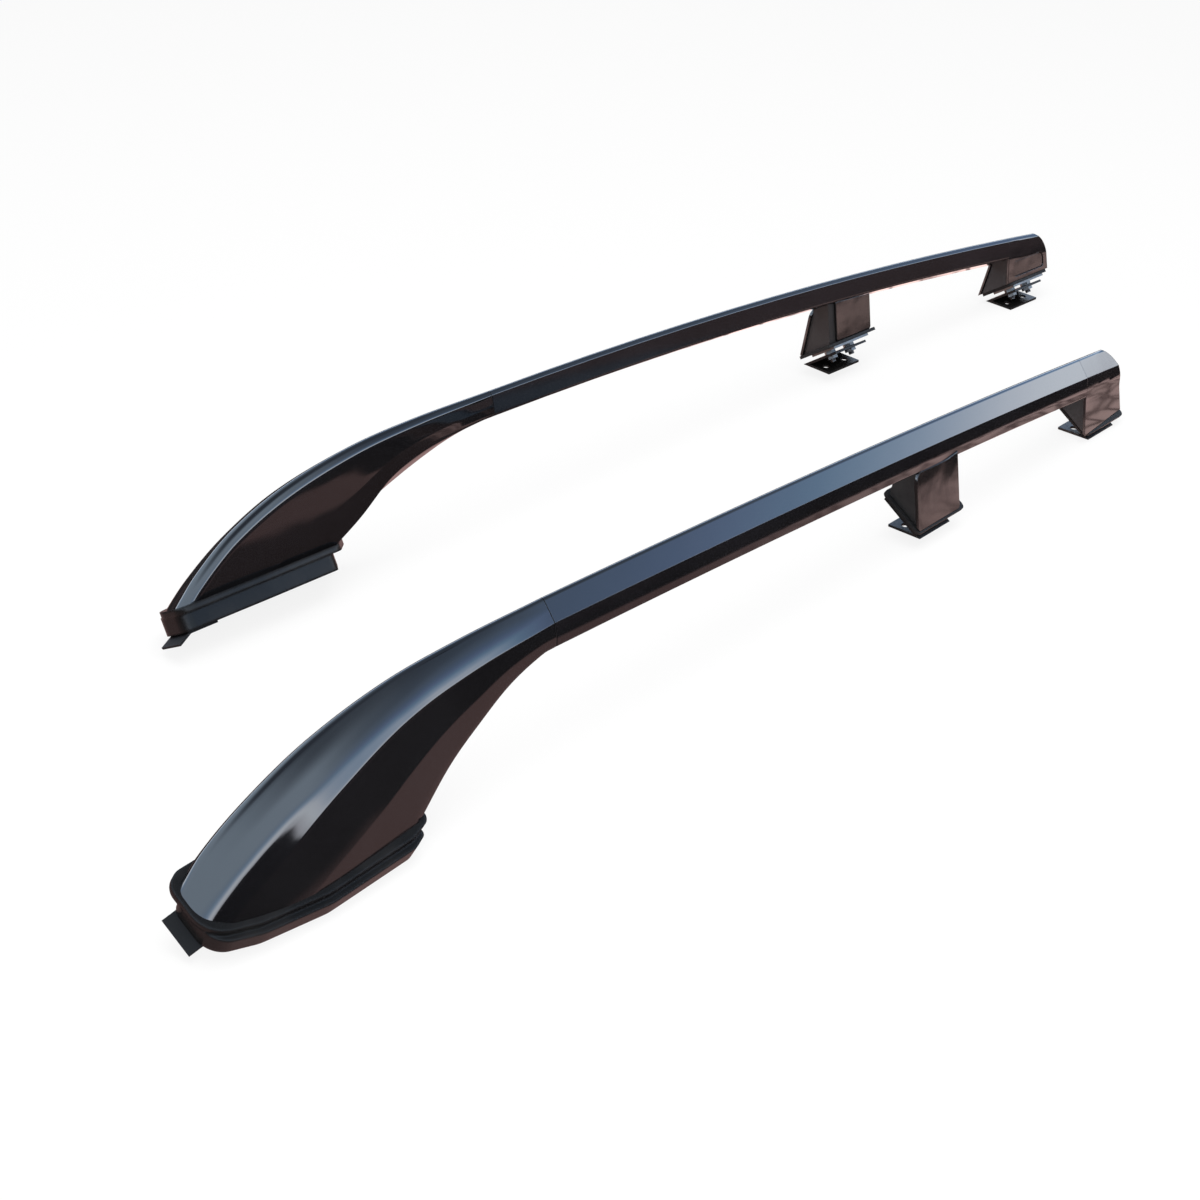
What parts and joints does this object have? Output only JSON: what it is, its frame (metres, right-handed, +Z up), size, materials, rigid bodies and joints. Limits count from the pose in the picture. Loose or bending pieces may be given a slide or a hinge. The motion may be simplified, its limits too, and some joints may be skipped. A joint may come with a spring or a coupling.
{
  "type": "pair of roof rails",
  "caption": "Pair of arched gloss black vehicle roof side rails with a sweeping front foot, block feet, rubber seals and bent clamp brackets.",
  "frame": {"origin": "middle of the pair at floor level", "axes": "+X rearward along the rails, +Y towards the right rail, +Z up"},
  "size_m": [1.7498, 0.4706, 0.1645],
  "materials": {
    "rail_paint": "gloss black",
    "shell_plastic": "gloss black",
    "cover_plastic": "gloss black",
    "matte_plastic": "matte black",
    "seal_rubber": "satin black",
    "cast_core": "cast, black",
    "bracket_paint": "satin black",
    "zinc_steel": "bright zinc"
  },
  "bodies": {
    "root": {"left_rail_tube": "rail_paint", "left_front_shell": "shell_plastic", "left_seam_ring": "matte_plastic", "left_front_spigot": "cast_core", "left_front_seal": "seal_rubber", "left_front_tab": "matte_plastic", "left_middle_post": "cast_core", "left_middle_outer_cover": "cover_plastic", "left_middle_inner_cover": "cover_plastic", "left_middle_pad": "seal_rubber", "left_middle_plate": "zinc_steel", "left_middle_bracket": "bracket_paint", "left_rear_shell": "shell_plastic", "left_rear_core": "cast_core", "left_rear_inner_cover": "cover_plastic", "left_rear_pad": "seal_rubber", "left_rear_plate": "zinc_steel", "left_rear_bracket": "bracket_paint", "left_clamp_bolts": "zinc_steel", "left_clamp_nuts": "zinc_steel", "right_rail_tube": "rail_paint", "right_front_shell": "shell_plastic", "right_seam_ring": "matte_plastic", "right_front_spigot": "cast_core", "right_front_seal": "seal_rubber", "right_front_tab": "matte_plastic", "right_middle_post": "cast_core", "right_middle_outer_cover": "cover_plastic", "right_middle_inner_cover": "cover_plastic", "right_middle_pad": "seal_rubber", "right_middle_plate": "zinc_steel", "right_middle_bracket": "bracket_paint", "right_rear_shell": "shell_plastic", "right_rear_core": "cast_core", "right_rear_inner_cover": "cover_plastic", "right_rear_pad": "seal_rubber", "right_rear_plate": "zinc_steel", "right_rear_bracket": "bracket_paint", "right_clamp_bolts": "zinc_steel", "right_clamp_nuts": "zinc_steel"}
  },
  "joints": []
}
